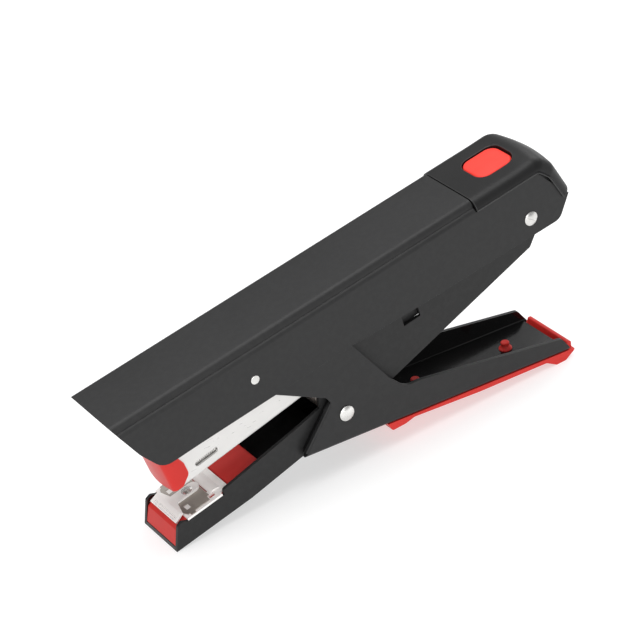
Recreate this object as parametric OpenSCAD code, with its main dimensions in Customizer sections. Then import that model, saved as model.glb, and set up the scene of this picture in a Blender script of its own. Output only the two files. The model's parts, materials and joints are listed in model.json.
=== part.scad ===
// Plier stapler: a squeezed lever pulls the top shell and its driver down on a sprung magazine.
// X runs from the nose to the rear, Z is up, and the stapler stands on its nose and its lever foot.

/* [Widths] */
// Width of the top shell over its side plates
shell_w = 28.5; // [28.3:0.1:29.5]
// Width of the squeezed lever over its side plates
lever_w = 25.8; // [25.6:0.1:25.9]
// Width of the frame and its anvil arm
frame_w = 20.5; // [20.3:0.1:20.7]
// Width of the magazine channel, which takes staples with a 13 mm crown
magazine_w = 15; // [14.9:0.1:15]
// Width of the nose cover
nose_w = 16.4; // [16.2:0.1:16.8]
// Width of the rear cap
cap_w = 29.5; // [29.3:0.1:30.5]
// Width of the lever's pad
pad_w = 25.2; // [24.6:0.1:25.4]

/* [Tilts in degrees] */
// Slope of the top shell at rest
shell_tilt = 8.8; // [8.7:0.1:8.9]
// Slope of the magazine at rest
magazine_tilt = 13.8; // [13.7:0.1:13.9]
// Slope of the anvil tray
tray_tilt = 12.2; // [12.1:0.1:12.3]

/* [Sheets and walls] */
// Sheet of the top shell
shell_t = 0.95; // [0.8:0.05:0.95]
// Sheet of the lever
lever_t = 1.3; // [1:0.1:1.3]
// Sheet of the frame
frame_t = 1.2; // [1:0.1:1.2]
// Sheet of the magazine and its guide
rail_t = 0.8; // [0.6:0.1:0.8]
// Moulded wall of the rear cap
cap_t = 1.6; // [1.4:0.1:1.8]

/* [Pins] */
// Shank of the main pivot and of the rear pivot
pivot_d = 4; // [3.8:0.1:4.2]
// Link pin that joins the shell to the lever slot
link_d = 3; // [2.8:0.1:3.1]
// Radial clearance of a turning fit
fit = 0.05; // [0.03:0.01:0.08]

/* [Staples] */
// Length of the loaded staple strip
strip_l = 28; // [10:1:28]
// Distance of the drawer's rear end ahead of the rear pivot
drawer_rear = 20; // [18:1:22]

/* [Hidden] */
$fn = 48;

// Distance of the object's middle from the nose end of the arm, once it leans
middle_x = 72.398;
// Lean and lift that bring the nose end of the arm and the lever's foot down on the surface
lean = 0.5;
lift = 0.7;
// Pivots, as [x, z] from the nose end of the arm
main_pivot = [65.6, 21.4];
rear_pivot = [142.5, 60.4];
link_pivot = [35.1, 49.3];
// The lever slot holds the link pin between these distances from the main pivot
slot_reach = [33.1, 41.4];
slot_w = 4.2;
slot_angle = 137.55;

shell_in = shell_w / 2 - shell_t;
lever_in = lever_w / 2 - lever_t;
frame_in = frame_w / 2 - frame_t;
guide_w = frame_w - 2 * frame_t - 0.9;
magazine_in = magazine_w / 2 - rail_t;
// Heights in the magazine's own frame, from the line through the rear pivot
magazine_floor = -7.9;
magazine_bend = 0.9;
magazine_top = 3;
crown_top = -0.1;
staple_foot = -7.05;
nose_front = -144;
strip_front = -140.4;
blade_at = -141;
// Start of the lowered rim that carries the anvil tray, as [x, z]
tray_start = [5.6, 8.4];

black = [0.20, 0.20, 0.21];
red = [0.86, 0.22, 0.19];
nickel = [0.82, 0.81, 0.79];
steel = [0.62, 0.60, 0.57];
spring_steel = [0.50, 0.47, 0.43];

// ---- outlines ----

function unit(v) = v / norm(v);
function turned(v, a) = [v.x * cos(a) - v.y * sin(a), v.x * sin(a) + v.y * cos(a)];
function flat(p) = [p.x, p.y];

// The arc that rounds corner b between its neighbours a and c
function fillet(a, b, c, r, steps = 5) =
    let (
        to_a = unit(a - b),
        to_c = unit(c - b),
        half = acos(to_a * to_c) / 2,
        start = b + to_a * (r / tan(half)),
        centre = b + unit(to_a + to_c) * (r / sin(half)),
        way = cross(to_a, to_c) > 0 ? -1 : 1
    )
    [for (i = [0:steps]) centre + turned(start - centre, way * (180 - 2 * half) * i / steps)];

// A closed outline whose corners may carry a radius as a third number
function outline(points) =
    let (n = len(points))
    [
        for (i = [0:n - 1])
        let (p = points[i], before = points[(i + n - 1) % n], after = points[(i + 1) % n])
        each len(p) > 2 ? fillet(flat(before), flat(p), flat(after), p[2]) : [p]
    ];

// ---- placing ----

module stand() {
    translate([-middle_x, 0, lift]) rotate([0, lean, 0]) children();
}

// Height of the standing surface at a distance from the nose end of the arm
function surface_z(x) = (x * sin(lean) - lift) / cos(lean);

// A plate between two depths in Y, cut to an outline in X and Z
module side_plate(points, low, high) {
    translate([0, high, 0]) rotate([90, 0, 0]) linear_extrude(high - low) polygon(outline(points));
}

// A pair of equal plates, one on each side
module side_plates(points, inner, outer) {
    side_plate(points, inner, outer);
    side_plate(points, -outer, -inner);
}

// A section drawn in Y and Z, drawn out along X
module along(from, to) {
    translate([from, 0, 0]) rotate([90, 0, 90]) linear_extrude(to - from) children();
}

module cross_pin(at, d, low, high) {
    translate([at.x, high, at.y]) rotate([90, 0, 0]) cylinder(d = d, h = high - low);
}

module at_rear_pivot(tilt) {
    translate([rear_pivot.x, 0, rear_pivot.y]) rotate([0, -tilt, 0]) children();
}

module at_tray() {
    translate([tray_start.x, 0, tray_start.y]) rotate([0, -tray_tilt, 0]) children();
}

module box(low, high) {
    translate(low) cube(high - low);
}

module washer_pair(at, inner, outer, d, bore) {
    for (side = [-1, 1])
        difference() {
            cross_pin(at, d, side > 0 ? inner : -outer, side > 0 ? outer : -inner);
            cross_pin(at, bore, -outer - 1, outer + 1);
        }
}

// Upright trough section: rounded at the bottom, open at the top
module trough(width, height, r) {
    translate([-width / 2, r]) square([width, height - r]);
    translate([r - width / 2, 0]) square([width - 2 * r, height]);
    for (side = [-1, 1])
        translate([side * (width / 2 - r), r]) circle(r);
}

module channel(width, height, sheet, bend) {
    difference() {
        trough(width, height, bend);
        translate([0, sheet]) trough(width - 2 * sheet, height, bend - sheet);
    }
}

module rounded_block(length, width, r, low, high) {
    translate([0, 0, low])
        linear_extrude(high - low) {
            square([length - 2 * r, width], center = true);
            square([length, width - 2 * r], center = true);
            for (sx = [-1, 1], sy = [-1, 1])
                translate([sx * (length / 2 - r), sy * (width / 2 - r)]) circle(r);
        }
}

// ---- frame and anvil ----

// One side of the frame: the arm's underside, the rear plate around both pivots, and the arm's rim
frame_plate = [
    [-0.06, -0.685], [29, 5.55], [50.5, 11.9], [71.4, 17.95, 8], [143.7, 47.5, 1], [149.2, 56, 4],
    [149.2, 66, 6], [138, 65.5, 8], [84, 50.5, 6], [57.9, 43, 4], [57.9, 25.8], [49.8, 22.8],
    [19.6, 13.29, 1], [19.6, 11.43, 0.4], [5.6, 8.4, 1], [3.6, 9.1, 0.8], [1.9, 8.1, 1]
];
// The arm's floor, which joins both sides
arm_floor = [
    [-0.06, -0.685], [29, 5.55], [50.5, 11.9], [59.9, 14.621], [59.55, 15.85], [50.2, 13.1],
    [28.7, 6.75], [0.21, 0.52]
];

// Window through both frame plates
window_at = [95.4, 43.6];
window_tilt = 10;
window_size = [6.6, 5.2];

module frame_channel() {
    color(black) stand() difference() {
        union() {
            side_plate(arm_floor, -frame_in - 0.2, frame_in + 0.2);
            side_plates(frame_plate, frame_in, frame_w / 2);
        }
        cross_pin(main_pivot, pivot_d, -frame_w, frame_w);
        cross_pin(rear_pivot, pivot_d, -frame_w, frame_w);
        translate([window_at.x, 0, window_at.y]) rotate([0, -window_tilt, 0])
            cube([window_size.x, 2 * frame_w, window_size.y], center = true);
    }
}

carrier_outline = [
    [0.3, 0.66], [1.75, 6.05, 0.4], [2.6, 6.8], [3.74, 8], [5.6, 8.4], [22.7, 12.07], [22.7, 12.9, 0.3], [35.2, 15.75, 0.8],
    [35.2, 11], [12, 3.2]
];

module anvil_carrier() {
    color(red) stand() difference() {
        side_plate(carrier_outline, -frame_in + 0.05, frame_in - 0.05);
        at_tray() box([2.4, -2.4, -1.9], [9.6, 2.4, 1]);
    }
}

// The tray's sheet, its narrow rear tongue and the wide part that rests on the arm's rims
tray_t = 0.8;
tray_front = 0.3;
tray_half = 8.6;
tray_rim_end = 13.8;
// Raised ridge across the tray, behind the leaf
ridge_at = 13.2;
ridge_r = 3;
ridge_h = 0.6;
ridge_half = 6.6;
// The selector's rivet, and the ends of the slot that it slides in
rivet_at = 6.7;
rivet_d = 1.7;
rivet_slot = [3.9, 6.9];

module slot_hole(d) {
    hull()
        for (s = rivet_slot)
            translate([s, 0, -1]) cylinder(d = d, h = 3);
}

module anvil_tray() {
    color(nickel) stand() at_tray() difference() {
        union() {
            box([tray_front, -tray_half, 0], [17.2, tray_half, tray_t]);
            box([tray_front, -frame_w / 2 + 0.1, 0.02], [tray_rim_end, frame_w / 2 - 0.1, tray_t]);
            intersection() {
                cross_pin([ridge_at, tray_t + ridge_h - ridge_r], 2 * ridge_r, -ridge_half, ridge_half);
                box([ridge_at - ridge_r, -tray_half, tray_t / 2], [ridge_at + ridge_r, tray_half, 2]);
            }
        }
        slot_hole(2);
        box([10.85, -5, -1], [11.3, 5, 2]);
        for (side = [-1, 1])
            box([10.2, side * 7.7 - 0.7, -1], [12.2, side * 7.7 + 0.7, 2]);
    }
}

// The leaf lies on the tray under the selector and brakes its slide
leaf_low = tray_t + 0.02;
leaf_top = tray_t + 0.3;
leaf_plan = [
    [0.7, -6.6, 2], [1.4, -9, 1], [9.8, -9], [9.8, -7], [10.7, -7], [10.7, 7], [9.8, 7], [9.8, 9],
    [1.4, 9, 1], [0.7, 6.6, 2]
];

module anvil_leaf() {
    color(spring_steel) stand() at_tray() difference() {
        union() {
            translate([0, 0, leaf_low]) linear_extrude(leaf_top - leaf_low) polygon(outline(leaf_plan));
            for (side = [-1, 1])
                box([2.1, side * 9.3 - 0.7, leaf_low], [3.9, side * 9.3 + 0.7, leaf_top]);
        }
        slot_hole(2.4);
        for (side = [-1, 1])
            box([2.3, side * 5.6 - 1.2, 0], [3.9, side * 5.6 + 1.2, 2]);
    }
}

// The selector slides on the leaf: underside and top face
selector_low = 1.12;
selector_top = 1.9;
// Front band of the selector in side view and from above, with two clinching grooves for the staple legs
selector_band = [
    [1.9, selector_low], [1.9, selector_top], [-0.2, selector_top, 0.5], [-3.3, 0.4, 0.15], [-2.96, -0.3],
    [0, selector_low]
];
band_plan = [[-3.6, -8], [0.4, -7.5], [1.8, -2], [1.8, 2], [0.4, 7.5], [-3.6, 8]];
band_slope = 25.8;
groove_half = 6.8;
groove_w = 0.35;
tongue_w = 4.4;
tongue_end = 8.8;

module anvil_selector() {
    color(nickel) stand() at_tray() difference() {
        union() {
            intersection() {
                side_plate(selector_band, -frame_w / 2, frame_w / 2);
                translate([0, 0, -1]) linear_extrude(4) polygon(band_plan);
            }
            box([1, -tongue_w / 2, selector_low], [tongue_end, tongue_w / 2, selector_top]);
            translate([tongue_end, 0, selector_low])
                cylinder(d = tongue_w, h = selector_top - selector_low);
        }
        translate([rivet_at, 0, 0]) cylinder(d = rivet_d, h = 5);
        translate([-0.2, 0, selector_top]) rotate([0, -band_slope, 0])
            for (x = [-3, -2.2])
                box([x, -groove_half, -0.25], [x + groove_w, groove_half, 1]);
    }
}

module anvil_rivet() {
    foot = -0.6;
    color(steel) stand() at_tray() translate([rivet_at, 0, 0]) {
        translate([0, 0, foot]) cylinder(d = rivet_d, h = selector_top - foot + 0.2);
        translate([0, 0, 2 * foot]) cylinder(d = 3.6, h = 0.7);
        intersection() {
            translate([0, 0, selector_top]) cylinder(d = 3.7, h = 1);
            translate([0, 0, selector_top - 2.9]) sphere(d = 7);
        }
    }
}

// ---- pivots ----

module headed_pin(at, shank, head, half, dome) {
    cross_pin(at, shank, -half, half);
    for (side = [-1, 1])
        translate([at.x, side * half, at.y]) rotate([side * -90, 0, 0])
            intersection() {
                cylinder(d = head, h = dome);
                translate([0, 0, dome - head]) sphere(r = head);
            }
}

module main_pivot_pin() {
    color(steel) stand()
        headed_pin(main_pivot, pivot_d, 5.4, lever_w / 2 + fit, 1.1);
}

module rear_pivot_pin() {
    color(steel) stand() difference() {
        headed_pin(rear_pivot, pivot_d, 4.9, shell_w / 2 + fit, 0.7);
        for (side = [-1, 1])
            translate([rear_pivot.x, side * (shell_w / 2 + 0.75), rear_pivot.y]) rotate([0, 35, 0]) {
                box([-3, -0.4, -0.25], [3, 0.4, 0.25]);
            }
    }
}

module pivot_washers() {
    color(steel) stand()
        washer_pair(main_pivot, frame_w / 2 + 0.02, lever_in - fit, 8.4, pivot_d);
}

module rear_spacers() {
    color(steel) stand()
        washer_pair(rear_pivot, frame_w / 2 + 0.02, shell_in - fit, 8, pivot_d);
}

module ring(d, wire) {
    rotate_extrude() translate([d / 2, 0]) circle(d = wire, $fn = 16);
}

module return_spring() {
    coil_r = 3.3;
    wire = 1.2;
    color(spring_steel) stand() translate([main_pivot.x, 0, main_pivot.y]) {
        for (i = [-4:4])
            translate([0, i * 1.5, 0]) rotate([90, 0, 0]) ring(2 * coil_r, wire);
        translate([-coil_r, -7.25, 0]) rotate([0, 190, 0]) cylinder(d = wire, h = 5);
        translate([coil_r, 7.25, 0]) rotate([0, 165, 0]) cylinder(d = wire, h = 7.4);
    }
}

// ---- squeezed lever ----

// A point of the lever's front arm: reach from the main pivot, and offset above the line to the link
function arm_point(reach, up) = main_pivot + turned([reach, -up], slot_angle);

// Places of the two pegs that hold the pad
peg_at = [100, 136.6];

// The lever's floor: where its underside starts, its slope and its ends along that slope
lever_start = [48.7, 11.85];
lever_floor_tilt = 4.36;
floor_from = 8;
floor_to = 104;
floor_bend = 1.6;
floor_half = lever_in - 0.5;

lever_plate = [
    [48.7, 12.2, 1], [61, 27, 2], [59.2, 30.2, 2], [57.1, 31.3, 1],
    arm_point(30.9, -2.65), arm_point(41.3, -5), arm_point(44.2, -3.9), arm_point(44.7, -0.6),
    arm_point(43.1, 1.7), arm_point(40.4, 3.4),
    [60, 50.3], [69.2, 48.6], [71, 44.7], [83, 26.6, 4], [88.6, 20.6, 5], [94, 20.4],
    [150.8, 9.6, 1.5], [154.4, 4.2, 1], [148, 2], [58, 9], [49.4, 10]
];

front_flange = [[50.1, 12.9], [61.6, 26.6], [60.4, 27.6], [48.9, 13.9]];

module at_lever_floor() {
    translate([lever_start.x, 0, lever_start.y]) rotate([0, lever_floor_tilt, 0]) children();
}

module lever_channel() {
    color(black) stand() difference() {
        union() {
            intersection() {
                side_plate(lever_plate, -lever_w, lever_w);
                at_lever_floor() along(-60, 120) channel(lever_w, 60, lever_t, floor_bend);
            }
            side_plates(front_flange, frame_w / 2 + 0.3, lever_w / 2 - 0.05);
        }
        at_lever_floor() {
            box([-60, -floor_half, -1], [floor_from, floor_half, lever_t + 1.5]);
            box([floor_to, -floor_half, -1], [120, floor_half, lever_t + 1.5]);
        }
        cross_pin(main_pivot, pivot_d + 2 * fit, -lever_w, lever_w);
        translate([main_pivot.x, 0, main_pivot.y]) rotate([0, -slot_angle, 0]) {
            box([slot_reach.x, -lever_w, -slot_w / 2], [slot_reach.y, lever_w, slot_w / 2]);
            for (reach = slot_reach)
                translate([reach, lever_w, 0]) rotate([90, 0, 0]) cylinder(d = slot_w, h = 2 * lever_w);
        }
        for (x = peg_at)
            translate([x, 0, 0]) cylinder(d = 3.1, h = 12);
    }
}

// Height of the lever's underside
function floor_z(x) = lever_start.y - (x - lever_start.x) * tan(lever_floor_tilt);

pad_outline = [
    [80.4, floor_z(80.4)], [81.6, 6.5, 1], [86.8, 6.7, 1], [90.5, 7.6, 2], [116.7, 4.9], [144, 3.1, 2],
    [148, surface_z(148), 0.8], [151.8, surface_z(151.8), 1], [155.8, 3.2, 1], [155.8, 5.9, 0.7],
    [154.2, 6, 0.5], [153.6, floor_z(153.6)]
];
// Half the width of the lip behind the lever's floor, and the outline of what is cut away beside it
lip_half = 10.8;
beside_lip = [[140, 4.9], [152.4, floor_z(152.4)], [157, 3.55], [157, 12], [140, 12]];

// One flared peg with a head, upright, as [radius, height above the lever's underside]
peg_profile = [
    [0, -1], [1.5, -1], [1.5, 1.45], [2.3, 1.45], [2.25, 1.8], [1.5, 2.3], [1.1, 2.9],
    [1.5, 3.1], [1.5, 3.9], [1.2, 4.15], [0, 4.15]
];

module lever_pad() {
    color(red) stand() {
        difference() {
            side_plate(pad_outline, -pad_w / 2, pad_w / 2);
            side_plates(beside_lip, lip_half, pad_w);
        }
        for (x = peg_at)
            translate([x, 0, floor_z(x)]) rotate_extrude() polygon(peg_profile);
    }
}

// ---- top shell and driver ----

shell_outline = [
    [-156.7, 19], [-150.9, 5.1, 8], [-145.4, -4.1, 6], [-131.7, -3.9], [-73.4, -3.9, 10],
    [-46.9, -5.4, 60], [10.4, -6.6, 4], [15.9, 0.7], [15.2, 1], [6.4, 14, 2.5], [-18.7, 14],
    [-18.7, 19]
];

shoulder_top = 15.5;
roof_top = 18;
roof_w = 26.2;
roof_corner = 2;

module roof_section(inset) {
    r = 1.6 - inset;
    side = shell_w / 2 - inset;
    translate([-side, -12]) square([2 * side, shoulder_top + 12 - inset - r]);
    translate([r - side, -12]) square([2 * (side - r), shoulder_top + 12 - inset]);
    for (s = [-1, 1])
        translate([s * (side - r), shoulder_top - inset - r]) circle(r);
    crown = roof_corner - inset;
    half = roof_w / 2 - inset;
    translate([-half, 10]) square([2 * half, roof_top - inset - crown - 10]);
    translate([crown - half, 10]) square([2 * (half - crown), roof_top - inset - 10]);
    for (s = [-1, 1])
        translate([s * (half - crown), roof_top - inset - crown]) circle(crown);
}

module top_shell() {
    color(black) stand() difference() {
        at_rear_pivot(shell_tilt) intersection() {
            along(-160, 20) difference() {
                roof_section(0);
                roof_section(shell_t);
                translate([-shell_w, -20]) square([2 * shell_w, 8.1]);
            }
            side_plate(shell_outline, -shell_w, shell_w);
        }
        cross_pin(rear_pivot, pivot_d + 2 * fit, -shell_w, shell_w);
        cross_pin(link_pivot, link_d, -shell_w, shell_w);
    }
}

module washer_ring(at, bore, d) {
    difference() {
        cross_pin(at, d, -0.4, 0.4);
        cross_pin(at, bore, -1, 1);
    }
}

module link_pin() {
    color(steel) stand() {
        cross_pin(link_pivot, link_d, -shell_w / 2 - 0.15, shell_w / 2 + 0.15);
        for (side = [-1, 1])
            translate([0, side * (lever_in - 0.9), 0])
                washer_ring(link_pivot, link_d, 5);
    }
}

cap_outline = [
    [-18.6, 14.3], [6.6, 14.3, 2.4], [15.5, 1.2], [16.6, 1.8, 0.6], [12.9, 12.4, 5], [8.2, 18.1, 3],
    [-18.6, 18.1]
];
button_at = -2.3;
button_l = 14.2;
button_w = 12.9;
button_r = 3.8;
button_top = 17.75;
cap_front = -18.6;
cap_top = 18.1;
// Hollow of the cap, and the rims of the cap that reach down inside the shell's side plates
cap_hollow = [[-20, -5], [14, -5], [14.5, 1], [11.4, 11, 4], [7.2, 16.2, 3], [-20, 16.2]];
cap_rim = [
    [-17, 12.3], [5.6, 12.3, 2.4], [12.6, 1.4], [14, 2.4], [11.8, 12, 3], [8, 16.5], [-17, 16.5]
];
rim_t = 1.2;

module cap_section(inset, top) {
    half = cap_w / 2 - inset;
    r = 3.4 - inset;
    translate([-half, 0]) square([2 * half, top - inset - r]);
    translate([r - half, 0]) square([2 * (half - r), top - inset]);
    for (s = [-1, 1])
        translate([s * (half - r), top - inset - r]) circle(r);
}

module rear_cap() {
    color(black) stand() at_rear_pivot(shell_tilt) difference() {
        union() {
            difference() {
                intersection() {
                    along(cap_front, 18) cap_section(0, cap_top);
                    side_plate(cap_outline, -cap_w, cap_w);
                }
                intersection() {
                    along(cap_front - 2, 13.6) cap_section(cap_t, cap_top);
                    side_plate(cap_hollow, -cap_w, cap_w);
                }
            }
            translate([button_at, 0, 0])
                rounded_block(button_l + 4.6, button_w + 4.6, button_r + 2, 11.7, 16.8);
            side_plates(cap_rim, shell_in - rim_t, shell_in - 0.05);
        }
        translate([button_at, 0, 0]) {
            rounded_block(button_l + 0.4, button_w + 0.4, button_r + 0.2, 12.7, 20);
            rounded_block(button_l + 2.4, button_w + 2.4, button_r + 1.2, 12.7, 16.1);
            translate([0, 0, 5]) cylinder(d = 4.6, h = 10);
        }
    }
}

module release_button() {
    color(red) stand() at_rear_pivot(shell_tilt) translate([button_at, 0, 0]) {
        rounded_block(button_l, button_w, button_r, 15.5, button_top);
        rounded_block(button_l - 1.2, button_w - 1.2, button_r - 0.6, button_top - 0.1, button_top + 0.2);
        rounded_block(button_l + 1.8, button_w + 1.8, button_r + 0.9, 15, 16);
        translate([0, 0, 11]) cylinder(d = 4, h = 4.5);
    }
}

module button_spring() {
    color(spring_steel) stand() at_rear_pivot(shell_tilt)
        for (i = [0:2])
            translate([button_at, 0, 13.1 + i * 0.72]) ring(6.8, 0.5);
}

// The driver stands square to the radius from the rear pivot, midway through its stroke
driver_tilt = magazine_tilt - 2.56;

module driver_blade() {
    color(steel) stand() at_rear_pivot(driver_tilt)
        box([blade_at - 0.3, -6.3, -6], [blade_at + 0.3, 6.3, 8]);
}

module driver_bracket() {
    color(nickel) stand() {
        at_rear_pivot(driver_tilt) {
            box([blade_at + 0.32, -6, 2.2], [blade_at + 1.6, 6, 21.3]);
        }
        at_rear_pivot(shell_tilt) {
            box([-140.6, -9, 15.1], [-126, 9, roof_top - shell_t - 0.02]);
        }
    }
}

// ---- magazine ----

module magazine_guide() {
    plate_top = magazine_top + 0.3 + rail_t;
    bottom = magazine_floor - 0.1 - rail_t;
    guide_in = guide_w / 2 - rail_t;
    color(black) stand() at_rear_pivot(magazine_tilt) difference() {
        union() {
            translate([0, 0, bottom])
                along(-86, -drawer_rear + 4) channel(guide_w, plate_top - bottom, rail_t, 1.2);
            for (side = [-1, 1])
                box([-86, side > 0 ? guide_in - 0.9 : -guide_in - 0.1, plate_top - rail_t],
                    [-8, side > 0 ? guide_in + 0.1 : 0.9 - guide_in, plate_top]);
            box([-18, -guide_in - 0.1, plate_top - rail_t], [-8, guide_in + 0.1, plate_top]);
            side_plates([[-20, bottom], [0, -5, 3], [4.6, -3, 3], [4.6, plate_top, 3], [-20, plate_top]],
                guide_in, guide_w / 2);
        }
        translate([0, guide_w, 0]) rotate([90, 0, 0]) cylinder(d = pivot_d + 2 * fit, h = 2 * guide_w);
        translate([-13, 0, 0]) cylinder(d = 2, h = 10);
    }
}

module release_latch() {
    seat = magazine_top + 0.3 + rail_t;
    hook = -drawer_rear - 3.4;
    color(spring_steel) stand() at_rear_pivot(magazine_tilt) difference() {
        union() {
            side_plate([[hook, seat], [-7.6, seat], [-3.6, 9.6, 0.5], [2, 9.6], [2, 10.2], [-4, 10.2, 0.8],
                [-8, seat + 0.6], [hook, seat + 0.6]], -3, 3);
            box([hook, -3, 0.8], [hook + 0.6, 3, seat + 0.1]);
        }
        translate([-13, 0, 0]) cylinder(d = 2, h = 10);
    }
}

module latch_rivet() {
    seat = magazine_top + 0.3;
    color(steel) stand() at_rear_pivot(magazine_tilt) translate([-13, 0, 0]) {
        translate([0, 0, seat]) cylinder(d = 2, h = 1.8);
        translate([0, 0, seat + 1.4]) cylinder(d = 3.6, h = 0.6);
    }
}

// Slot in the side of the magazine that shows the staples: its end centres, height and width
sight_slot = [-133.2, -126.4];
sight_z = -3.7;
sight_h = 2;

module magazine_channel() {
    height = magazine_top - magazine_floor;
    color(nickel) stand() at_rear_pivot(magazine_tilt) difference() {
        union() {
            translate([0, 0, magazine_floor])
                along(-142.6, -drawer_rear) channel(magazine_w, height, rail_t, magazine_bend);
            box([-142.6, -magazine_in - 0.1, magazine_floor + 0.6],
                [-141.8, magazine_in + 0.1, magazine_top]);
            box([-drawer_rear - 0.8, -magazine_in - 0.1, magazine_floor + 0.1],
                [-drawer_rear, magazine_in + 0.1, 2.6]);
        }
        box([-141.8, -magazine_in, magazine_floor - 1], [-139, magazine_in, magazine_floor + 2]);
        for (end = sight_slot)
            translate([end, magazine_w, sight_z]) rotate([90, 0, 0])
                cylinder(d = sight_h, h = 2 * magazine_w);
        box([sight_slot.x, -magazine_w, sight_z - sight_h / 2],
            [sight_slot.y, magazine_w, sight_z + sight_h / 2]);
        translate([-drawer_rear - 2, 0, -3]) rotate([0, 90, 0]) cylinder(d = 2.4, h = 4);
    }
}

nose_side = [
    [nose_front - 3, -7.3], [-140.8, -7.3, 1.4], [-137.3, -4.4, 2.4], [-137.3, 0.2, 3], [-139, 5, 3],
    [-139.6, 13], [nose_front - 3, 13]
];

module nose_cover() {
    half = nose_w / 2;
    color(red) stand() at_rear_pivot(magazine_tilt) difference() {
        intersection() {
            translate([0, 0, -7.3]) linear_extrude(20.3)
                polygon(outline([[-136, -half], [nose_front - 0.2, -half, 1.8], [nose_front - 1.3, 0, 30],
                    [nose_front - 0.2, half, 1.8], [-136, half]]));
            side_plate(nose_side, -half, half);
        }
        box([-142.7, -magazine_w / 2 - 0.05, -20], [-130, magazine_w / 2 + 0.05, 20]);
    }
}

module staple_strip() {
    color(nickel) stand() at_rear_pivot(magazine_tilt) difference() {
        box([strip_front, -6.45, staple_foot], [strip_front + strip_l, 6.45, crown_top]);
        box([strip_front - 1, -5.9, staple_foot - 1], [strip_front + strip_l + 1, 5.9, crown_top - 0.5]);
    }
}

pusher_front = strip_front + strip_l + 0.2;

module pusher() {
    color(black) stand() at_rear_pivot(magazine_tilt) difference() {
        union() {
            box([pusher_front, -6.3, staple_foot], [pusher_front + 2, 6.3, crown_top]);
            box([pusher_front + 1, -4.4, staple_foot], [pusher_front + 9, 4.4, crown_top - 0.2]);
        }
        translate([pusher_front - 1, 0, -3]) rotate([0, 90, 0]) cylinder(d = 2.8, h = 20);
    }
}

module spring_rod() {
    color(steel) stand() at_rear_pivot(magazine_tilt) {
        translate([pusher_front + 1, 0, -3]) rotate([0, 90, 0])
            cylinder(d = 2.4, h = -drawer_rear - pusher_front - 0.6);
        translate([-drawer_rear + 0.02, 0, -3]) rotate([0, 90, 0]) cylinder(d = 3.6, h = 0.6);
    }
}

module pusher_spring() {
    from = pusher_front + 9.5;
    to = -drawer_rear - 1.3;
    turns = 26;
    color(spring_steel) stand() at_rear_pivot(magazine_tilt)
        for (i = [0:turns - 1])
            translate([from + (to - from) * i / (turns - 1), 0, -3]) rotate([0, 90, 0]) ring(4.6, 0.6);
}

frame_channel();
anvil_carrier();
anvil_tray();
anvil_leaf();
anvil_selector();
anvil_rivet();
main_pivot_pin();
rear_pivot_pin();
pivot_washers();
rear_spacers();
return_spring();
lever_channel();
lever_pad();
top_shell();
rear_cap();
driver_bracket();
driver_blade();
link_pin();
button_spring();
release_button();
magazine_guide();
release_latch();
latch_rivet();
magazine_channel();
nose_cover();
staple_strip();
spring_rod();
pusher_spring();
pusher();
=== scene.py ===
"""Looks of the plier stapler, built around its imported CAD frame."""

import json
import math

import bmesh
import bpy
from mathutils import Matrix, Vector


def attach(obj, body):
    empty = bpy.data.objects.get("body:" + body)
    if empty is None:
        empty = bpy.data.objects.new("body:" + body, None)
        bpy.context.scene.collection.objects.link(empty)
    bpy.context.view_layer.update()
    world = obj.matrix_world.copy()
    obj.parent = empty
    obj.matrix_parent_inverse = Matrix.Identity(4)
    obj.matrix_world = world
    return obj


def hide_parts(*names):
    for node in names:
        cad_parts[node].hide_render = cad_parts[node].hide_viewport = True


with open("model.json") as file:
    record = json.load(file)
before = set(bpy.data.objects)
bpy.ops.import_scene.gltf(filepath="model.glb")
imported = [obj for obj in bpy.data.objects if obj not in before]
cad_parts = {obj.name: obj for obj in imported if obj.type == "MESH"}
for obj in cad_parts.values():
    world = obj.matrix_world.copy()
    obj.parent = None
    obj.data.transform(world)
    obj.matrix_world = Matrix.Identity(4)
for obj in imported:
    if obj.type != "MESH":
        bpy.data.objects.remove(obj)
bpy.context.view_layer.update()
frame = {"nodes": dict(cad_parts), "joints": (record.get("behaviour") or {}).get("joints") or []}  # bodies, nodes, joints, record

MM = 0.001
NODES = frame["nodes"]
JOINTS = {joint["name"]: joint for joint in frame["joints"]}


# ---- places from the frame ----

def tilted_frame(joint, along):
    """The frame of a tilted part: X along it to the rear, Z up and square to it, at a joint's pivot."""
    x = Vector(along)
    y = Vector((0, 1, 0))
    z = x.cross(y)
    turn = Matrix((x, y, z)).transposed().to_4x4()
    return Matrix.Translation(Vector(joint["pos_m"])) @ turn


press = Vector(JOINTS["button_press"]["axis"])
SHELL = tilted_frame(JOINTS["shell_pivot"], (-press.z, 0, press.x))
MAGAZINE = tilted_frame(JOINTS["magazine_pivot"], JOINTS["magazine_drawer"]["axis"])


def local_box(node, place):
    """Lowest and highest corner of a CAD node in a tilted frame, in millimetres."""
    inverse = place.inverted()
    points = [inverse @ v.co / MM for v in NODES[node].data.vertices]
    low = Vector([min(p[i] for p in points) for i in range(3)])
    high = Vector([max(p[i] for p in points) for i in range(3)])
    return low, high


# ---- materials ----

BLACK = (0.0135, 0.0135, 0.0138)
# The frame's paint, darker than the same black elsewhere: painted shade against the glowing floor's light
# from below
FRAME_BLACK_PAINTED_SHADE = (0.0108, 0.0108, 0.011)
# Much darker black for the inside of the channels: painted shade
INNER_PAINTED_SHADE = (0.0035, 0.0035, 0.0036)
RUBBED_BLACK = (0.03, 0.03, 0.03)


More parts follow.
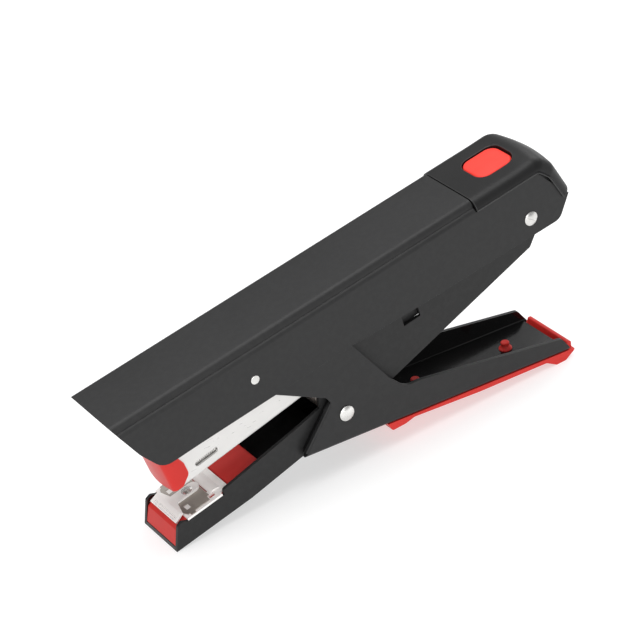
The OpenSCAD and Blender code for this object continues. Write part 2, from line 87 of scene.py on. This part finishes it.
class Shader:
    """A principled material whose nodes are added one by one, in the object's own coordinates."""

    def __init__(self, name, colour, roughness, metallic=0.0):
        """A plain material, ready for its nodes."""
        self.material = bpy.data.materials.new(name)
        self.material.use_nodes = True
        self.tree = self.material.node_tree
        self.bsdf = self.tree.nodes["Principled BSDF"]
        self.bsdf.inputs["Base Color"].default_value = (*colour, 1)
        self.bsdf.inputs["Roughness"].default_value = roughness
        self.bsdf.inputs["Metallic"].default_value = metallic
        self.place = self.tree.nodes.new("ShaderNodeTexCoord").outputs["Object"]
        self.normal = None

    def link(self, output, socket):
        """Wires an output to a socket."""
        self.tree.links.new(output, socket)

    def mapped(self, scale, turn=(0, 0, 0)):
        """The object's coordinates, stretched and turned for drawn or scratched surfaces."""
        node = self.tree.nodes.new("ShaderNodeMapping")
        node.inputs["Scale"].default_value = scale
        node.inputs["Rotation"].default_value = turn
        self.link(self.place, node.inputs["Vector"])
        return node.outputs["Vector"]

    def noise(self, scale, detail, at=None):
        """Noise of about so many spots to the metre."""
        node = self.tree.nodes.new("ShaderNodeTexNoise")
        node.inputs["Scale"].default_value = scale
        node.inputs["Detail"].default_value = detail
        self.link(at or self.place, node.inputs["Vector"])
        return node.outputs["Fac"]

    def cells(self, scale):
        """Distance to the nearest of many grains, about so many to the metre."""
        node = self.tree.nodes.new("ShaderNodeTexVoronoi")
        node.inputs["Scale"].default_value = scale
        self.link(self.place, node.inputs["Vector"])
        return node.outputs["Distance"]

    def remap(self, value, from_low, from_high, to_low, to_high):
        """A value moved linearly from one range to another, and kept inside it."""
        node = self.tree.nodes.new("ShaderNodeMapRange")
        for name, number in (("From Min", from_low), ("From Max", from_high),
                             ("To Min", to_low), ("To Max", to_high)):
            node.inputs[name].default_value = number
        self.link(value, node.inputs["Value"])
        return node.outputs["Result"]

    def spread(self, noise, low, high):
        """The usual range of a noise, spread over a range of values."""
        return self.remap(noise, 0.3, 0.7, low, high)

    def math(self, operation, first, second):
        """Two numbers or outputs put together."""
        node = self.tree.nodes.new("ShaderNodeMath")
        node.operation = operation
        for socket, value in zip(node.inputs, (first, second)):
            if isinstance(value, (int, float)):
                socket.default_value = value
            else:
                self.link(value, socket)
        return node.outputs["Value"]

    def mix(self, factor, first, second):
        """The first colour or output where the factor is 0, the second where it is 1."""
        node = self.tree.nodes.new("ShaderNodeMix")
        node.data_type = "RGBA"
        self.link(factor, node.inputs["Factor"])
        for name, value in (("A", first), ("B", second)):
            socket = [s for s in node.inputs if s.name == name and s.type == "RGBA"][0]
            if isinstance(value, tuple):
                socket.default_value = (*value, 1)
            else:
                self.link(value, socket)
        return [s for s in node.outputs if s.type == "RGBA"][0]

    def bump(self, height, distance, strength):
        """A bump of a distance in metres, on top of those before it."""
        node = self.tree.nodes.new("ShaderNodeBump")
        node.inputs["Distance"].default_value = distance
        node.inputs["Strength"].default_value = strength
        self.link(height, node.inputs["Height"])
        if self.normal is not None:
            self.link(self.normal, node.inputs["Normal"])
        self.normal = node.outputs["Normal"]
        self.link(self.normal, self.bsdf.inputs["Normal"])

    def inside(self, half):
        """1 where the object's Y lies within half millimetres of its middle, else 0."""
        split = self.tree.nodes.new("ShaderNodeSeparateXYZ")
        self.link(self.place, split.inputs["Vector"])
        return self.math("LESS_THAN", self.math("ABSOLUTE", split.outputs["Y"], 0.0), half * MM)

    def gloss(self, level):
        """How much the surface mirrors when seen straight on; 0.5 is a usual gloss."""
        self.bsdf.inputs["Specular IOR Level"].default_value = level

    def colour(self, output):
        """Wires the base colour."""
        self.link(output, self.bsdf.inputs["Base Color"])

    def roughness(self, output):
        """Wires the roughness."""
        self.link(output, self.bsdf.inputs["Roughness"])


def painted_steel(name, base, wear_and_edge_light=RUBBED_BLACK, amount=0.15, inner=0.0):
    """Satin black powder coat with fine orange peel; glossier within inner millimetres of the middle, and
    painted much darker there: painted shade inside the channel.
    """
    outer_gloss, inner_gloss, smoother = 0.3, 0.5, 0.33
    paler = 1.18
    s = Shader(name, base, 0.5)
    s.gloss(outer_gloss)
    grain = s.noise(5200, 3)
    peel = s.noise(900, 2)
    cloud = s.noise(38, 2)
    patches = s.remap(s.noise(500, 4), 0.42, 0.62, 0, amount)
    pale = tuple(c * paler for c in base)
    coat = s.mix(patches, s.mix(s.spread(cloud, 0, 1), base, pale), wear_and_edge_light)
    rough = s.math("ADD", s.spread(grain, 0.40, 0.54), s.spread(cloud, -0.03, 0.03))
    if inner:
        inside_shade_and_gloss = s.inside(inner)
        # Inside, the coat turns much darker: painted shade in the channel
        coat = s.mix(inside_shade_and_gloss, coat, INNER_PAINTED_SHADE)
        rough = s.math("SUBTRACT", rough, s.math("MULTIPLY", inside_shade_and_gloss, smoother))
        s.link(s.remap(inside_shade_and_gloss, 0, 1, outer_gloss, inner_gloss), s.bsdf.inputs["Specular IOR Level"])
    s.colour(coat)
    s.roughness(rough)
    s.bump(peel, 0.00002, 0.3)
    s.bump(grain, 0.00001, 0.4)
    return s.material


def moulded_black(name, base, pale, roughness):
    """Satin black moulded plastic with a fine spark-eroded grain."""
    s = Shader(name, base, roughness)
    s.gloss(0.28)
    grain = s.cells(2600)
    cloud = s.noise(60, 2)
    s.colour(s.mix(s.spread(cloud, 0, 1), base, pale))
    s.roughness(s.math("ADD", s.remap(grain, 0, 0.8, roughness - 0.05, roughness + 0.06),
                       s.spread(cloud, -0.03, 0.03)))
    s.bump(grain, 0.00002, 0.3)
    return s.material


def moulded_colour(name, deep, pale, roughness):
    """Coloured plastic: faint flow marks and a fine texture."""
    s = Shader(name, deep, roughness)
    s.gloss(0.2)
    flow = s.noise(90, 3, s.mapped((1, 3, 1)))
    grain = s.noise(3800, 2)
    s.colour(s.mix(s.spread(flow, 0, 1), deep, pale))
    s.roughness(s.math("ADD", s.spread(grain, roughness - 0.05, roughness + 0.06),
                       s.spread(flow, -0.03, 0.03)))
    s.bump(grain, 0.00001, 0.25)
    return s.material


def plated(name, colour, roughness, drawn=(1, 1, 1), turn=(0, 0, 0), dark=0.85, metallic=1.0):
    """Plated or bare steel with fine draw lines, small scratches and a little tarnish."""
    s = Shader(name, colour, roughness, metallic)
    lines = s.noise(1500, 3, s.mapped(drawn, turn))
    spots = s.noise(120, 4)
    scratch = s.noise(700, 5, s.mapped((0.3, 3, 1), (0.2, 0.4, 0.7)))
    dull = tuple(c * dark for c in colour)
    s.colour(s.mix(s.remap(spots, 0.4, 0.8, 0, 1), colour, dull))
    s.roughness(s.math("ADD", s.spread(lines, roughness - 0.05, roughness + 0.06),
                       s.remap(scratch, 0.55, 0.7, 0, 0.08)))
    s.bump(lines, 0.000004, 0.35)
    return s.material


def drawn_nickel(name, colour, roughness, metallic):
    """Nickel plate with its draw lines along the magazine and the tray."""
    return plated(name, colour, roughness, (0.15, 2, 2), (0, -0.24, 0), 0.95, metallic)


# Each slot's material for the faces, then the one for the rounded edges: a lighter copy that paints a
# highlight along them (on black steel partly rubbed paint as well, on the button a darker copy, a painted
# shade; the nickel's differs only in gloss)
SLOTS = {
    "black_steel": (
        painted_steel("black_steel", BLACK),
        # The black steel edge copy is lighter: partly rubbed paint, mostly painted highlight
        painted_steel("black_steel_edge_wear_and_highlight", (0.05, 0.05, 0.05), (0.15, 0.15, 0.147), 0.8)),
    "black_plastic": (
        moulded_black("black_plastic", (0.0068, 0.0068, 0.007), (0.0088, 0.0088, 0.009), 0.42),
        moulded_black("black_plastic_edge_highlight", (0.034, 0.034, 0.034), (0.045, 0.045, 0.045), 0.34)),
    "red_plastic": (
        moulded_colour("red_plastic", (0.54, 0.026, 0.021), (0.60, 0.032, 0.026), 0.38),
        moulded_colour("red_plastic_edge_highlight", (0.70, 0.045, 0.036), (0.74, 0.055, 0.044), 0.36)),
    "red_button": (
        moulded_colour("red_button", (0.87, 0.050, 0.036), (0.91, 0.056, 0.041), 0.5),
        # The button's edge copy is darker: painted shade along its edge
        moulded_colour("red_button_edge_shade", (0.80, 0.045, 0.034), (0.84, 0.05, 0.038), 0.5)),
    "nickel_steel": (
        drawn_nickel("nickel_steel", (0.96, 0.93, 0.91), 0.36, 0.15),
        plated("nickel_steel_edge", (0.95, 0.94, 0.92), 0.25, dark=0.93, metallic=0.5)),
    "pin_steel": (
        plated("pin_steel", (0.82, 0.81, 0.79), 0.26, dark=0.6),
        plated("pin_steel_edge_highlight", (0.88, 0.87, 0.85), 0.22)),
    "spring_steel": (
        plated("spring_steel", (0.42, 0.38, 0.345), 0.38, (0.3, 2, 1)),
        plated("spring_steel_edge_highlight", (0.58, 0.54, 0.50), 0.3)),
    "staple_wire": (
        plated("staple_wire", (0.74, 0.73, 0.71), 0.28, (1, 0.2, 1)),
        plated("staple_wire_edge_highlight", (0.8, 0.79, 0.77), 0.25)),
}
# Nodes whose faces have their own material; the lever and the frame are glossier inside and painted much
# blacker there, a painted shade
OWN_FACES = {
    "lever_channel": painted_steel("lever_steel", BLACK, inner=11.65),
    "frame_channel": painted_steel("frame_steel", FRAME_BLACK_PAINTED_SHADE, inner=9.1),
    "top_shell": painted_steel("shell_steel", BLACK),
    "magazine_channel": drawn_nickel("magazine_steel", (0.72, 0.71, 0.695), 0.32, 0.4),
}


# ---- mesh helpers, in millimetres ----

def dress(piece, slot):
    """The slot's two materials, the faces' first and the rounded edges' second, which paints light along
    the edges.
    """
    piece.data.materials.clear()
    for material in SLOTS[slot]:
        piece.data.materials.append(material)


def new_piece(name, bm, slot, body, node, place=Matrix.Identity(4)):
    """A finished piece from a bmesh in millimetres, which rides on a body in place of a CAD node."""
    mesh = bpy.data.meshes.new(name)
    bmesh.ops.recalc_face_normals(bm, faces=bm.faces)
    bmesh.ops.transform(bm, matrix=place @ Matrix.Scale(MM, 4), verts=bm.verts)
    bm.to_mesh(mesh)
    bm.free()
    piece = bpy.data.objects.new(name, mesh)
    bpy.context.scene.collection.objects.link(piece)
    smooth(mesh)
    dress(piece, slot)
    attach(piece, body)
    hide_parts(node)
    return piece


def smooth(mesh, angle=35):
    """Smooth shading, apart from edges sharper than an angle in degrees."""
    for polygon in mesh.polygons:
        polygon.use_smooth = True
    mesh.set_sharp_from_angle(angle=math.radians(angle))


def bevelled(piece, width, least_angle, clamped):
    """A rounded edge, of the slot's second material with its painted highlight, wherever two faces meet
    at a clear angle.
    """
    bevel = piece.modifiers.new("edges", "BEVEL")
    bevel.width = width * MM
    bevel.segments = 2
    bevel.limit_method = "ANGLE"
    bevel.angle_limit = math.radians(least_angle)
    bevel.harden_normals = True
    bevel.material = 1
    bevel.use_clamp_overlap = clamped


def soften(node, width):
    """Rounds a CAD node's sharp edges with modifiers, so that they catch the light and carry the slot's
    painted edge highlight.
    """
    piece = NODES[node]
    custom = piece.data.attributes.get("custom_normal")
    if custom is not None:
        piece.data.attributes.remove(custom)
    smooth(piece.data, 180)
    weld = piece.modifiers.new("weld", "WELD")
    weld.merge_threshold = 0.004 * MM
    flat = piece.modifiers.new("flat_faces", "DECIMATE")
    flat.decimate_type = "DISSOLVE"
    flat.angle_limit = math.radians(0.4)
    bevelled(piece, width, 32, True)
    return piece


def bridge(bm, rings):
    """Quads between rings of equally many points; returns the rings' vertices."""
    rows = [[bm.verts.new(point) for point in ring] for ring in rings]
    for low, high in zip(rows, rows[1:]):
        for i, vertex in enumerate(low):
            j = (i + 1) % len(low)
            bm.faces.new((vertex, low[j], high[j], high[i]))
    return rows


def tube(bm, path, radius, sides):
    """A round wire along a path, with flat ends."""
    rings = []
    side = None
    for i, point in enumerate(path):
        ahead = (path[min(i + 1, len(path) - 1)] - path[max(i - 1, 0)]).normalized()
        if side is None:
            side = ahead.orthogonal().normalized()
        side = (side - ahead * side.dot(ahead)).normalized()
        other = ahead.cross(side)
        rings.append([point + (side * math.cos(a) + other * math.sin(a)) * radius
                      for a in (2 * math.pi * k / sides for k in range(sides))])
    rows = bridge(bm, rings)
    bm.faces.new(list(reversed(rows[0])))
    bm.faces.new(rows[-1])


def coil(centre, axis, start, radius, length, turns, per_turn):
    """Points of a helix about an axis through centre, from a unit start direction."""
    axis, start = Vector(axis), Vector(start)
    other = axis.cross(start)
    count = int(turns * per_turn)
    points = []
    for i in range(count + 1):
        angle = 2 * math.pi * turns * i / count
        points.append(Vector(centre) + axis * (length * (i / count - 0.5))
                      + (start * math.cos(angle) + other * math.sin(angle)) * radius)
    return points


def rounded_rectangle(length, width, radius, z):
    """Points of a rounded rectangle at height z, anticlockwise."""
    steps = 8
    points = []
    for corner, (sx, sy) in enumerate(((1, 1), (-1, 1), (-1, -1), (1, -1))):
        for k in range(steps + 1):
            angle = math.pi / 2 * (corner + k / steps)
            points.append(Vector((sx * (length / 2 - radius) + radius * math.cos(angle),
                                  sy * (width / 2 - radius) + radius * math.sin(angle), z)))
    return points


def rounded_path(corners):
    """Points and outward normals along a line in X and Z, rounded at each corner between its ends."""
    steps = 10
    spots = [Vector((c[0], c[1])) for c in corners]
    points = [spots[0]]
    for i in range(1, len(corners) - 1):
        back = (spots[i - 1] - spots[i]).normalized()
        on = (spots[i + 1] - spots[i]).normalized()
        half = back.angle(on) / 2
        radius = corners[i][2]
        start = spots[i] + back * (radius / math.tan(half))
        centre = spots[i] + (back + on).normalized() * (radius / math.sin(half))
        turn = math.pi - 2 * half
        way = -1 if back.x * on.y - back.y * on.x > 0 else 1
        arm = start - centre
        for k in range(steps + 1):
            a = way * turn * k / steps
            points.append(centre + Vector((arm.x * math.cos(a) - arm.y * math.sin(a),
                                           arm.x * math.sin(a) + arm.y * math.cos(a))))
    points.append(spots[-1])
    normals = []
    for i in range(len(points)):
        ahead = (points[min(i + 1, len(points) - 1)] - points[max(i - 1, 0)]).normalized()
        normals.append(Vector((-ahead.y, ahead.x)))
    return points, normals


# ---- CAD nodes that stay ----

# Each node's slot, and the width of its rounded edges in millimetres
CARRIED = {
    "frame_channel": ("black_steel", 0.14), "lever_channel": ("black_steel", 0.15),
    "top_shell": ("black_steel", 0.12), "magazine_guide": ("black_steel", 0.1),
    "anvil_carrier": ("red_plastic", 0.2), "lever_pad": ("red_plastic", 0.55),
    "nose_cover": ("red_plastic", 0.5), "pusher": ("black_plastic", 0.15),
    "anvil_tray": ("nickel_steel", 0.1), "anvil_selector": ("nickel_steel", 0.1),
    "magazine_channel": ("nickel_steel", 0.1), "driver_bracket": ("nickel_steel", 0.1),
    "driver_blade": ("nickel_steel", 0.05), "anvil_leaf": ("spring_steel", 0.06),
    "release_latch": ("spring_steel", 0.06), "latch_rivet": ("pin_steel", 0.1),
    "main_pivot_pin": ("pin_steel", 0.15), "rear_pivot_pin": ("pin_steel", 0.12),
    "link_pin": ("pin_steel", 0.15), "anvil_rivet": ("pin_steel", 0.1),
    "pivot_washers": ("pin_steel", 0.1), "rear_spacers": ("pin_steel", 0.1),
    "spring_rod": ("pin_steel", 0.1),
}


def carry():
    """Dresses and softens the CAD nodes that stay."""
    for node, (slot, width) in CARRIED.items():
        dress(soften(node, width), slot)
        if node in OWN_FACES:
            NODES[node].data.materials[0] = OWN_FACES[node]


# ---- rear cap and button ----

# The cap in the shell's frame: half its width, its upper outline and its lower edge in side view with the
# radius of each corner, the radius of its long edges and its wall
CAP_HALF = 14.75
CAP_PROFILE = [(-18.3, 18.1), (8.4, 18.1, 6), (13.3, 12.4, 5), (17, 1.6)]
CAP_LIP = [(-18.3, 14.8), (7.1, 14.8, 2.4), (16.1, 1.3)]
CAP_CORNER = 3.6
CAP_WALL = 1.5
# The button: where its middle is along the cap, its size, and the clearance round it
BUTTON_AT = -2.3
BUTTON_LENGTH, BUTTON_WIDTH, BUTTON_RADIUS = 14.2, 12.9, 3.8
BUTTON_GAP = 0.3


def crown(step):
    """How far the middle of the cap bulges, from its front seam at step 0 to its rear end at step 1."""
    start, full = 0.38, 0.72
    height, lowered = 1.8, 0.9
    rise = min(1.0, max(0.0, (step - start) / (full - start)))
    fall = max(0.0, step - full) / (1 - full)
    return height * rise * rise * (3 - 2 * rise) - lowered * fall


def refined(points, normals, longest):
    """A finer line between points, with its normals and the length up to each of its points."""
    fine_points, fine_normals = [], []
    for i in range(len(points) - 1):
        pieces = max(1, int((points[i + 1] - points[i]).length / longest))
        for k in range(pieces):
            fine_points.append(points[i].lerp(points[i + 1], k / pieces))
            fine_normals.append(normals[i].lerp(normals[i + 1], k / pieces).normalized())
    fine_points.append(points[-1])
    fine_normals.append(normals[-1])
    lengths = [0.0]
    for a, b in zip(fine_points, fine_points[1:]):
        lengths.append(lengths[-1] + (b - a).length)
    return fine_points, fine_normals, lengths


def cap_section():
    """Half-widths across the cap and the drop at each; the drop of the two lower edges is None."""
    round_steps, flat_steps = 8, 12
    section = [(-CAP_HALF, None)]
    for k in range(round_steps + 1):
        a = math.pi / 2 * k / round_steps
        section.append((-CAP_HALF + CAP_CORNER * (1 - math.cos(a)), -CAP_CORNER * (1 - math.sin(a))))
    side = list(section)
    flat = CAP_HALF - CAP_CORNER
    section += [(-flat + 2 * flat * k / flat_steps, 0.0) for k in range(1, flat_steps)]
    return section + [(-v, drop) for v, drop in reversed(side)]


def cap_hood():
    """The cap's outer skin, and the points of its lower edge on one side."""
    longest_step, least_step, least_side = 1.5, 0.4, 0.05
    points, normals, lengths = refined(*rounded_path(CAP_PROFILE), longest_step)
    section = cap_section()
    lip = rounded_path(CAP_LIP)[0]
    bm = bmesh.new()
    rows = []
    for point, normal, length in zip(points, normals, lengths):
        bulge = crown(length / lengths[-1])
        row = []
        for v, drop in section:
            if drop is None:
                lift = -max(reach(point, normal, lip), CAP_CORNER + least_side)
            else:
                lift = drop + bulge * (1 - (v / CAP_HALF) ** 2)
            row.append(bm.verts.new((point.x + normal.x * lift, v, point.y + normal.y * lift)))
        rows.append(row)
    edge = [rows[0][0].co.copy()]
    for row in rows[1:]:
        if (row[0].co - edge[-1]).length > least_step:
            edge.append(row[0].co.copy())
    for low, high in zip(rows, rows[1:]):
        for i in range(len(low) - 1):
            bm.faces.new((low[i], high[i], high[i + 1], low[i + 1]))
    return bm, edge


def reach(point, normal, line):
    """Distance from a point, against its normal, to a line of points."""
    parallel, slack = 1e-9, 0.001
    best = None
    for a, b in zip(line, line[1:]):
        along = b - a
        across = normal.x * along.y - normal.y * along.x
        if abs(across) < parallel:
            continue
        offset = point - a
        share = (normal.x * offset.y - normal.y * offset.x) / across
        if -slack <= share <= 1 + slack:
            spot = a + along * share
            distance = (point - spot).dot(normal)
            if distance > 0 and (best is None or distance < best):
                best = distance
    return best if best is not None else CAP_CORNER


def evaluated(piece):
    """The mesh with all its modifiers applied."""
    graph = bpy.context.evaluated_depsgraph_get()
    graph.update()
    return bpy.data.meshes.new_from_object(piece.evaluated_get(graph))


def cut(piece, bm, place):
    """Cuts a closed bmesh, in millimetres in a tilted frame, out of a piece for good."""
    mesh = bpy.data.meshes.new("cutter")
    bmesh.ops.recalc_face_normals(bm, faces=bm.faces)
    bmesh.ops.transform(bm, matrix=place @ Matrix.Scale(MM, 4), verts=bm.verts)
    bm.to_mesh(mesh)
    bm.free()
    cutter = bpy.data.objects.new("cutter", mesh)
    bpy.context.scene.collection.objects.link(cutter)
    boolean = piece.modifiers.new("cut", "BOOLEAN")
    boolean.operation = "DIFFERENCE"
    boolean.solver = "EXACT"
    boolean.object = cutter
    result = evaluated(piece)
    piece.modifiers.clear()
    piece.data = result
    bpy.data.objects.remove(cutter)


def button_outline(margin, z):
    """The button's outline at height z, grown by a margin, about its own middle."""
    return rounded_rectangle(BUTTON_LENGTH + 2 * margin, BUTTON_WIDTH + 2 * margin,
                             BUTTON_RADIUS + margin, z)


def closed_stack(rings):
    """A closed bmesh of rings one above the other, moved to the button's place."""
    bm = bmesh.new()
    rows = bridge(bm, rings)
    bm.faces.new(rows[-1])
    bm.faces.new(list(reversed(rows[0])))
    bmesh.ops.translate(bm, vec=(BUTTON_AT, 0, 0), verts=bm.verts)
    return bm


def rear_cap():
    """The hood with its wall, cut open for the button, and the bead along its edge."""
    below, above = 10, 25
    sheet, edge = cap_hood()
    hood = new_piece("rear_cap_hood", sheet, "black_plastic", "shell", "rear_cap", SHELL)
    if hood.data.polygons[len(hood.data.polygons) // 2].normal.z < 0:
        hood.data.flip_normals()
    wall = hood.modifiers.new("wall", "SOLIDIFY")
    wall.thickness = CAP_WALL * MM
    wall.offset = -1
    hood.data = evaluated(hood)
    hood.modifiers.clear()
    cut(hood, closed_stack([button_outline(BUTTON_GAP, z) for z in (below, above)]), SHELL)
    smooth(hood.data, 40)
    bevelled(hood, 0.18, 40, False)
    cap_bead(edge)


def button():
    """The button, with a rounded edge and a slightly domed top."""
    foot, top, edge, dome = 14.8, 18.0, 0.9, 0.5
    edge_steps = 6
    rings = [button_outline(0, z) for z in (foot, top - edge)]
    for k in range(1, edge_steps + 1):
        a = math.pi / 2 * k / edge_steps
        rings.append(button_outline(-edge * (1 - math.cos(a)), top - edge + edge * math.sin(a)))
    for share in (0.8, 0.55, 0.3):
        rings.append([Vector((p.x * share, p.y * share, top + dome * (1 - share ** 2)))
                      for p in button_outline(-edge, 0)])
    new_piece("button_top", closed_stack(rings), "red_button", "button", "release_button", SHELL)


def prism(bm, outline, low, high):
    """A plate between two depths in Y, from an outline in X and Z."""
    sides = [[bm.verts.new((x, y, z)) for x, z in outline] for y in (low, high)]
    for i in range(len(outline)):
        j = (i + 1) % len(outline)
        bm.faces.new((sides[0][i], sides[0][j], sides[1][j], sides[1][i]))
    bm.faces.new(list(reversed(sides[0])))
    bm.faces.new(sides[1])


def cap_rims():
    """Rims inside the shell's sides and a tongue under its roof, which close the gaps round the hood."""
    tongue = [(-19.8, 15.5), (-16.9, 15.5), (-16.9, 16.5), (-19.8, 16.5)]
    rim = [(-17, 12.3), (5.4, 12.3), (6.9, 11), (12.6, 1.4),
           (14, 2.4), (11.8, 12), (8, 16.4), (-17, 16.4)]
    inner, outer = 12.1, 13.27
    bm = bmesh.new()
    prism(bm, tongue, -12, 12)
    prism(bm, rim, -outer, -inner)
    prism(bm, rim, inner, outer)
    new_piece("cap_rims", bm, "black_plastic", "shell", "rear_cap", SHELL)


def cap_bead(edge):
    """The fine moulded bead along the lower edge of the cap, on both sides, in the lighter edge black: a
    painted highlight line.
    """
    radius, sunk = 0.2, 0.05
    bm = bmesh.new()
    for side in (-1, 1):
        tube(bm, [Vector((p.x, side * (CAP_HALF - sunk), p.z)) for p in edge], radius, sides=8)
    bead = new_piece("cap_lip", bm, "black_plastic", "shell", "rear_cap", SHELL)
    # The bead's lighter black paints a highlight along the cap's edge
    bead.data.materials[0] = SLOTS["black_plastic"][1]


def button_well():
    """The dark well that guides the button, under the hood."""
    top, floor_top, foot, wall = 17.2, 12.8, 12, 1.5
    inset, dip = 4, 0.1
    bm = bmesh.new()
    inner = bridge(bm, [button_outline(BUTTON_GAP, top), button_outline(BUTTON_GAP, floor_top),
                        button_outline(-inset, floor_top - dip)])
    bm.faces.new(inner[-1])
    outer = bridge(bm, [button_outline(wall, z) for z in (top, foot)])
    bm.faces.new(list(reversed(outer[-1])))
    for i in range(len(inner[0])):
        j = (i + 1) % len(inner[0])
        bm.faces.new((inner[0][j], inner[0][i], outer[0][i], outer[0][j]))
    bmesh.ops.translate(bm, vec=(BUTTON_AT, 0, 0), verts=bm.verts)
    new_piece("button_well", bm, "black_plastic", "shell", "rear_cap", SHELL)


# ---- springs and staples ----

def return_spring():
    """The wound spring round the main pivot, with one leg to the frame and one to the lever."""
    pivot = Vector(JOINTS["lever_squeeze"]["pos_m"]) / MM
    wound = coil(pivot, (0, 1, 0), (-1, 0, 0), radius=3.3, length=12.4, turns=8.5, per_turn=28)
    first_leg = [wound[0] + Vector(offset) for offset in ((-0.75, -0.9, -4.7), (-0.1, -0.2, -0.8))]
    last_leg = [wound[-1] + Vector(offset) for offset in ((0.1, 0.2, -0.8), (1.9, 0.9, -7.1))]
    bm = bmesh.new()
    tube(bm, first_leg + wound + last_leg, radius=0.6, sides=12)
    new_piece("return_spring_wire", bm, "spring_steel", "frame", "return_spring")


def pusher_spring():
    """The long spring on the rod behind the pusher."""
    wire = 0.3
    low, high = local_box("pusher_spring", MAGAZINE)
    wound = coil((low + high) / 2, (1, 0, 0), (0, 0, 1), radius=2.3, length=high.x - low.x - 2 * wire,
                 turns=26, per_turn=18)
    bm = bmesh.new()
    tube(bm, wound, wire, sides=8)
    new_piece("pusher_spring_wire", bm, "spring_steel", "drawer", "pusher_spring", MAGAZINE)


def button_spring():
    """The short spring under the button."""
    wire = 0.25
    low, high = local_box("button_spring", SHELL)
    wound = coil((low + high) / 2, (0, 0, 1), (1, 0, 0), radius=3.4, length=high.z - low.z - 2 * wire,
                 turns=3, per_turn=24)
    bm = bmesh.new()
    tube(bm, wound, wire, sides=8)
    new_piece("button_spring_wire", bm, "spring_steel", "shell", "button_spring", SHELL)


def staple_outline(low, high):
    """One staple's outline in Y and Z, round its crown and its two legs."""
    wire, corner, steps = 0.55, 0.45, 4
    outer = [(low.y, low.z)]
    for k in range(steps + 1):
        a = math.pi / 2 * k / steps
        outer.append((low.y + corner * (1 - math.cos(a)), high.z - corner * (1 - math.sin(a))))
    outer += [(-y, z) for y, z in reversed(outer)]
    leg = high.y - wire
    return outer + [(leg, low.z), (leg, high.z - wire), (-leg, high.z - wire), (-leg, low.z)]


def staples():
    """The glued strip, staple by staple."""
    low, high = local_box("staple_strip", MAGAZINE)
    outline = staple_outline(low, high)
    usual_pitch, gap = 0.7, 0.05
    count = round((high.x - low.x) / usual_pitch)
    pitch = (high.x - low.x) / count
    bm = bmesh.new()
    for i in range(count):
        x = low.x + i * pitch
        near = [bm.verts.new((x + gap, y, z)) for y, z in outline]
        far = [bm.verts.new((x + pitch - gap, y, z)) for y, z in outline]
        for k in range(len(outline)):
            j = (k + 1) % len(outline)
            bm.faces.new((near[k], near[j], far[j], far[k]))
        bm.faces.new(list(reversed(near)))
        bm.faces.new(far)
    bmesh.ops.triangulate(bm, faces=[f for f in bm.faces if len(f.verts) > 4])
    new_piece("staples", bm, "staple_wire", "drawer", "staple_strip", MAGAZINE)


# ---- studio ----

def floor():
    """A wide pale floor that glows a little, so that shadows on it stay faint."""
    half = 4.0
    corners = [(-half, -half, 0), (half, -half, 0), (half, half, 0), (-half, half, 0)]
    mesh = bpy.data.meshes.new("studio_floor")
    mesh.from_pydata(corners, [], [(0, 1, 2, 3)])
    piece = bpy.data.objects.new("studio_floor", mesh)
    bpy.context.scene.collection.objects.link(piece)
    s = Shader("pale_floor", (0.55, 0.55, 0.55), 0.7)
    s.bsdf.inputs["Emission Color"].default_value = (1, 1, 1, 1)
    s.bsdf.inputs["Emission Strength"].default_value = 0.5
    s.gloss(0.1)
    mesh.materials.append(s.material)


def softbox(name, at, size, power):
    """A rectangular lamp, in metres and watts, turned to the middle of the stapler."""
    aim = Vector((0, 0, 0.03))
    light = bpy.data.lights.new(name, "AREA")
    light.shape = "RECTANGLE"
    light.size, light.size_y = size
    light.energy = power
    lamp = bpy.data.objects.new(name, light)
    lamp.location = at
    lamp.rotation_mode = "QUATERNION"
    lamp.rotation_quaternion = (aim - Vector(at)).to_track_quat("-Z", "Y")
    bpy.context.scene.collection.objects.link(lamp)


def studio():
    """A pale room with a large lamp overhead, one on the camera's side and a weak one behind."""
    floor()
    softbox("overhead", (-0.1, 0.15, 1.5), (1.6, 1.6), 24)
    softbox("camera_side", (-0.5, -1.2, 0.5), (1.2, 0.8), 9)
    softbox("rear_right", (0.9, 0.5, 0.7), (0.7, 0.7), 3)
    world = bpy.data.worlds.new("studio")
    world.use_nodes = True
    background = world.node_tree.nodes["Background"]
    background.inputs["Color"].default_value = (1, 1, 1, 1)
    background.inputs["Strength"].default_value = 0.42
    bpy.context.scene.world = world
    bpy.context.scene.view_settings.view_transform = "Standard"


def camera():
    """A long lens that looks down on the nose's left side, and is rolled a little."""
    azimuth, elevation, roll = (math.radians(a) for a in (28.396, 32.089, 9.458))
    aim = Vector((-3.57, 0, 49.4)) * MM
    distance = 0.803
    away = Vector((-math.sin(azimuth) * math.cos(elevation), -math.cos(azimuth) * math.cos(elevation),
                   math.sin(elevation)))
    level = Vector((math.cos(azimuth), -math.sin(azimuth), 0))
    above = away.cross(level)
    right = level * math.cos(roll) - above * math.sin(roll)
    up = level * math.sin(roll) + above * math.cos(roll)
    data = bpy.data.cameras.new("camera")
    data.sensor_width = 36
    data.lens = 143.4
    data.clip_start = 0.05
    data.clip_end = 20
    eye = bpy.data.objects.new("camera", data)
    eye.matrix_world = (Matrix.Translation(aim + away * distance)
                        @ Matrix((right, up, away)).transposed().to_4x4())
    bpy.context.scene.collection.objects.link(eye)
    bpy.context.scene.camera = eye


carry()
rear_cap()
cap_rims()
button_well()
button()
return_spring()
pusher_spring()
button_spring()
staples()
camera()
studio()
